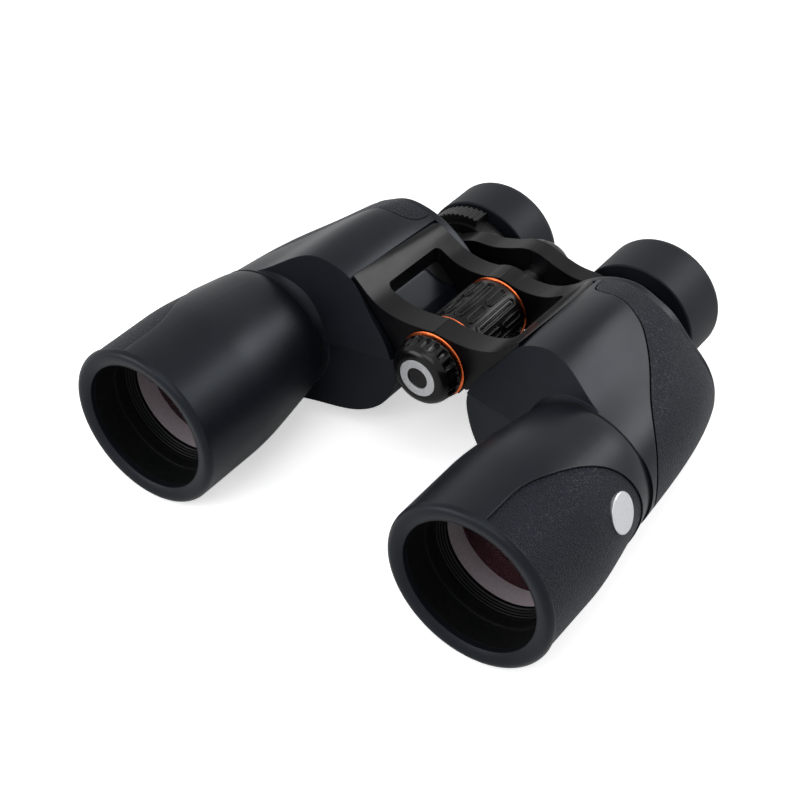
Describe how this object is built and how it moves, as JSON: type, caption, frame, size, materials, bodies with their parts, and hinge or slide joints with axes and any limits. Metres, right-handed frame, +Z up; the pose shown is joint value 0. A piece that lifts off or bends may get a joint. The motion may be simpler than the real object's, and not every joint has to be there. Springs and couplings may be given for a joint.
{
  "type": "porro prism astronomy binoculars",
  "caption": "Rubber-armoured porro prism binoculars with a centre focus wheel, folding bridge, twist-up eyecups and a tripod socket under a front cap.",
  "frame": {"origin": "on the table under the middle of the binoculars, which lie on their objective rims and eyecups with the halves fully spread", "axes": "+X to the user's left, +Y from the objectives to the eyepieces along the optical axes, +Z up"},
  "size_m": [0.2066, 0.192, 0.07],
  "materials": {
    "armour": "matte soft rubber, almost black with a cool cast",
    "grip": "matte rubber with a fine pebbled texture",
    "black_metal": "matte black paint",
    "satin_black": "satin black paint",
    "coated_glass": "coated, with a dark red reflection",
    "prism_glass": "polished",
    "steel": "turned",
    "brass": "turned",
    "silver": "bright silver, plain",
    "copper": "bright copper-coloured ring",
    "wheel_rubber": "glossy black",
    "gloss_black": "glossy black with polished flutes",
    "black_plastic": "matte black",
    "eyecup_rubber": "matte soft rubber"
  },
  "bodies": {
    "right_half": {"right_barrel": "black_metal", "right_barrel_armour": "armour", "right_barrel_grip": "grip", "right_objective_cell": "black_metal", "right_objective_retaining_ring": "black_metal", "right_objective_crown_lens": "coated_glass", "right_objective_flint_lens": "coated_glass", "right_housing": "black_metal", "right_housing_armour": "armour", "right_housing_grip": "grip", "right_rear_cover": "armour", "right_cover_screws": "steel", "right_rear_prism": "prism_glass", "right_front_prism": "prism_glass", "right_prism_shelf": "black_metal", "right_prism_clips": "steel", "right_bridge_plate": "satin_black", "hinge_axle": "steel", "axle_nut": "steel", "cap_ring": "copper"},
    "left_half": {"left_barrel": "black_metal", "left_barrel_armour": "armour", "left_barrel_grip": "grip", "left_objective_cell": "black_metal", "left_objective_retaining_ring": "black_metal", "left_objective_crown_lens": "coated_glass", "left_objective_flint_lens": "coated_glass", "left_housing": "black_metal", "left_housing_armour": "armour", "left_housing_grip": "grip", "left_rear_cover": "armour", "left_cover_screws": "steel", "left_rear_prism": "prism_glass", "left_front_prism": "prism_glass", "left_prism_shelf": "black_metal", "left_prism_clips": "steel", "left_bridge_plate": "satin_black", "left_side_badge": "silver", "hinge_bushes": "brass"},
    "focus_wheel": {"focus_wheel": "wheel_rubber", "wheel_rings": "copper"},
    "right_carriage": {"right_eyepiece_arm": "satin_black", "right_eyepiece_tube": "black_metal", "focus_shaft": "steel"},
    "left_carriage": {"left_eyepiece_arm": "satin_black", "left_eyepiece_tube": "black_metal", "left_eyepiece_barrel": "black_metal", "left_field_lens": "coated_glass", "left_eye_lens": "coated_glass"},
    "diopter_ring": {"diopter_ring": "black_plastic"},
    "right_eyepiece": {"right_eyepiece_barrel": "black_metal", "right_field_lens": "coated_glass", "right_eye_lens": "coated_glass"},
    "right_eyecup_sleeve": {"right_eyecup_sleeve": "black_plastic"},
    "right_eyecup": {"right_eyecup": "eyecup_rubber"},
    "left_eyecup_sleeve": {"left_eyecup_sleeve": "black_plastic"},
    "left_eyecup": {"left_eyecup": "eyecup_rubber"},
    "cap_washer": {"cap_washer": "black_plastic"},
    "tripod_cap": {"tripod_cap": "gloss_black", "cap_badge": "silver"}
  },
  "joints": [
    {"name": "ipd_hinge", "type": "hinge", "parent": "right_half", "child": "left_half", "pos_m": [0, 0, 0.04075], "axis": [0, 1, 0], "range_deg": [0, 49]},
    {"name": "focus_turn", "type": "hinge", "parent": "right_half", "child": "focus_wheel", "pos_m": [0, 0, 0.04075], "axis": [0, 1, 0], "range_deg": [-271, 271]},
    {"name": "focus_slide_right", "type": "slide", "parent": "right_half", "child": "right_carriage", "axis": [0, 1, 0], "range_m": [-0.003, 0.003]},
    {"name": "focus_slide_left", "type": "slide", "parent": "left_half", "child": "left_carriage", "axis": [0, 1, 0], "range_m": [-0.00301, 0.00301]},
    {"name": "diopter_turn", "type": "hinge", "parent": "right_carriage", "child": "diopter_ring", "pos_m": [-0.0379, 0, 0.0253], "axis": [0, 1, 0], "range_deg": [-36, 36]},
    {"name": "diopter_slide", "type": "slide", "parent": "right_carriage", "child": "right_eyepiece", "axis": [0, 1, 0], "range_m": [-0.0012, 0.0012]},
    {"name": "right_eyecup_turn", "type": "hinge", "parent": "right_eyepiece", "child": "right_eyecup_sleeve", "pos_m": [-0.0379, 0, 0.0253], "axis": [0, 1, 0], "range_deg": [0, 120]},
    {"name": "right_eyecup_raise", "type": "slide", "parent": "right_eyecup_sleeve", "child": "right_eyecup", "axis": [0, 1, 0], "range_m": [0, 0.00801]},
    {"name": "left_eyecup_turn", "type": "hinge", "parent": "left_carriage", "child": "left_eyecup_sleeve", "pos_m": [0.0379, 0, 0.0253], "axis": [0, 1, 0], "range_deg": [0, 120]},
    {"name": "left_eyecup_raise", "type": "slide", "parent": "left_eyecup_sleeve", "child": "left_eyecup", "axis": [0, 1, 0], "range_m": [0, 0.00801]},
    {"name": "cap_turn", "type": "hinge", "parent": "right_half", "child": "cap_washer", "pos_m": [0, 0, 0.04075], "axis": [0, -1, 0], "range_deg": [0, 720]},
    {"name": "cap_slide", "type": "slide", "parent": "cap_washer", "child": "tripod_cap", "axis": [0, -1, 0], "range_m": [0, 0.00601]}
  ],
  "couplings": [
    {"joint": "focus_turn", "follows": "focus_slide_right", "rad_per_m": 1570.8},
    {"joint": "focus_slide_left", "follows": "focus_slide_right", "ratio": 1},
    {"joint": "diopter_turn", "follows": "diopter_slide", "rad_per_m": 509.05},
    {"joint": "right_eyecup_raise", "follows": "right_eyecup_turn", "m_per_rad": 0.0038197},
    {"joint": "left_eyecup_raise", "follows": "left_eyecup_turn", "m_per_rad": 0.0038197},
    {"joint": "cap_slide", "follows": "cap_turn", "m_per_rad": 0.00047746}
  ]
}
